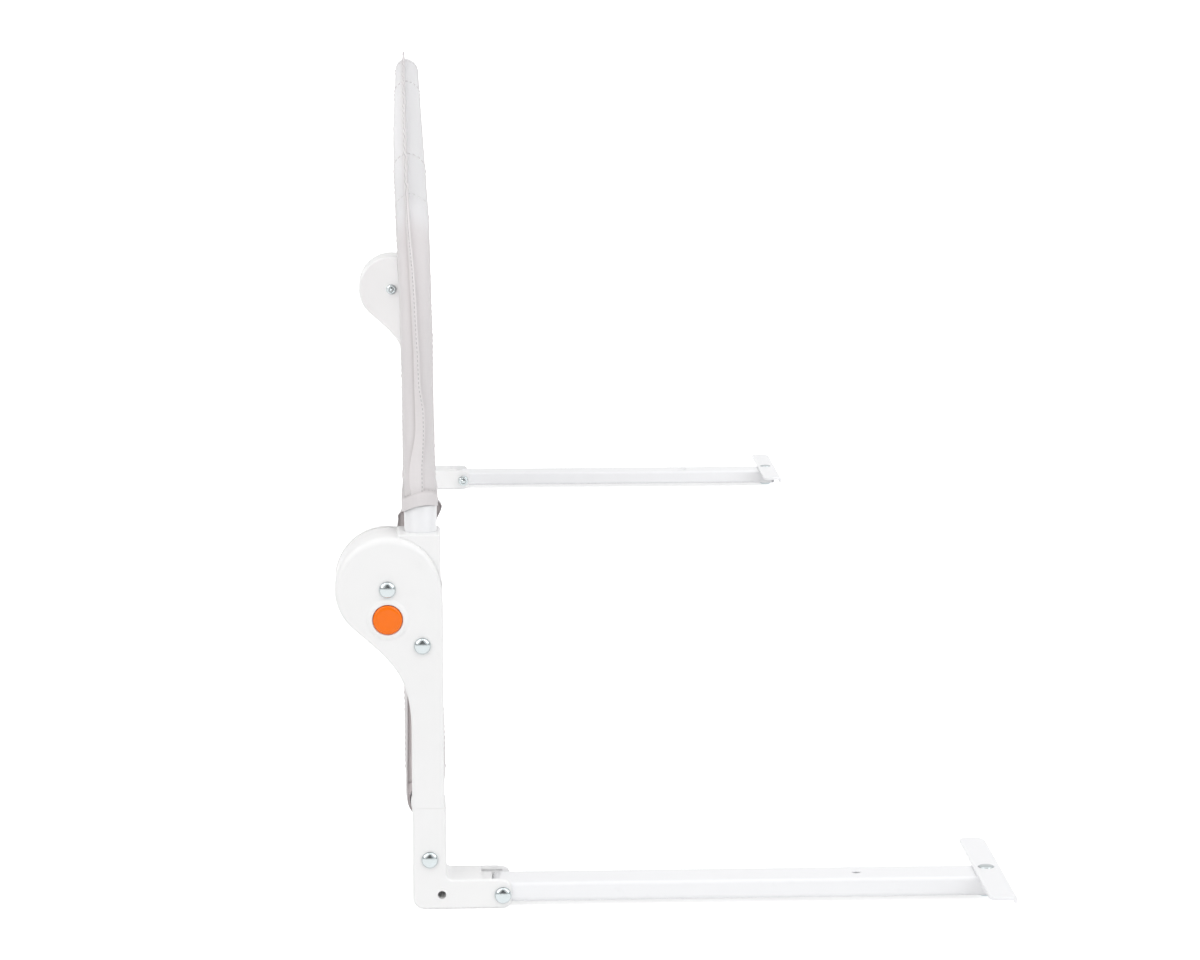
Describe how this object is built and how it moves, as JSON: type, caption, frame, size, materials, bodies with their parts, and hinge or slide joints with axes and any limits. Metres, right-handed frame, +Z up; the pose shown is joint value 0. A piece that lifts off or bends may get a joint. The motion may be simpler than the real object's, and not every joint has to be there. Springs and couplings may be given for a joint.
{
  "type": "folding bed guard rail",
  "caption": "Fold-down bed guard rail: fabric cover on a tube frame, hinged legs with push-button locks, and fold-up supports for under a mattress.",
  "frame": {"origin": "middle of the box round the part, on the surface that it stands on", "axes": "+X along the rail, +Y towards the bed, +Z up"},
  "size_m": [1.604, 0.3979, 0.4183],
  "materials": {
    "white_plastic": "fine satin",
    "grey_plastic": "satin",
    "white_steel": "powder coat",
    "zinc_steel": "bright zinc plate",
    "orange_plastic": "satin gloss",
    "grey_fabric": "plain woven polyester"
  },
  "bodies": {
    "legs": {"right_hub_outer_shell": "white_plastic", "right_hub_inner_shell": "white_plastic", "right_upright_tube": "white_steel", "right_pivot_bolt": "zinc_steel", "right_pivot_nut": "zinc_steel", "right_hub_screw": "zinc_steel", "right_hub_nut": "zinc_steel", "right_elbow": "white_plastic", "right_elbow_screw": "zinc_steel", "right_elbow_nut": "zinc_steel", "right_support_bolt": "zinc_steel", "right_support_nut": "zinc_steel", "right_crossbar": "white_steel", "left_hub_outer_shell": "white_plastic", "left_hub_inner_shell": "white_plastic", "left_upright_tube": "white_steel", "left_pivot_bolt": "zinc_steel", "left_pivot_nut": "zinc_steel", "left_hub_screw": "zinc_steel", "left_hub_nut": "zinc_steel", "left_elbow": "white_plastic", "left_elbow_screw": "zinc_steel", "left_elbow_nut": "zinc_steel", "left_support_bolt": "zinc_steel", "left_support_nut": "zinc_steel", "left_crossbar": "white_steel", "crossbar_connector": "white_steel", "cover_lower": "grey_fabric"},
    "rail": {"right_swivel_hub": "white_plastic", "right_rail_tube": "white_steel", "right_tube_screw": "zinc_steel", "left_swivel_hub": "white_plastic", "left_rail_tube": "white_steel", "left_tube_screw": "zinc_steel", "rail_connector": "white_steel", "cover_upper": "grey_fabric"},
    "right_button": {"right_lock_button": "orange_plastic", "right_lock_pin": "zinc_steel", "right_button_spring": "zinc_steel"},
    "right_support": {"right_support_tube": "white_steel", "right_tube_plug": "grey_plastic", "right_cross_plate": "white_steel", "right_plate_screw": "zinc_steel", "right_plate_nut": "zinc_steel"},
    "left_button": {"left_lock_button": "orange_plastic", "left_lock_pin": "zinc_steel", "left_button_spring": "zinc_steel"},
    "left_support": {"left_support_tube": "white_steel", "left_tube_plug": "grey_plastic", "left_cross_plate": "white_steel", "left_plate_screw": "zinc_steel", "left_plate_nut": "zinc_steel"}
  },
  "joints": [
    {"name": "rail_fold", "type": "hinge", "parent": "legs", "child": "rail", "pos_m": [0, -0.167, 0.1933], "axis": [1, 0, 0], "range_deg": [0, 180]},
    {"name": "right_button_press", "type": "slide", "parent": "legs", "child": "right_button", "axis": [-1, 0, 0], "range_m": [0, 0.003], "stiffness_N_per_m": 500, "springref_m": -0.004},
    {"name": "right_support_fold", "type": "hinge", "parent": "legs", "child": "right_support", "pos_m": [0.733, -0.1001, 0.00885], "axis": [1, 0, 0], "range_deg": [0, 90]},
    {"name": "left_button_press", "type": "slide", "parent": "legs", "child": "left_button", "axis": [1, 0, 0], "range_m": [0, 0.003], "stiffness_N_per_m": 500, "springref_m": -0.004},
    {"name": "left_support_fold", "type": "hinge", "parent": "legs", "child": "left_support", "pos_m": [-0.733, -0.1001, 0.00885], "axis": [1, 0, 0], "range_deg": [0, 90]}
  ]
}
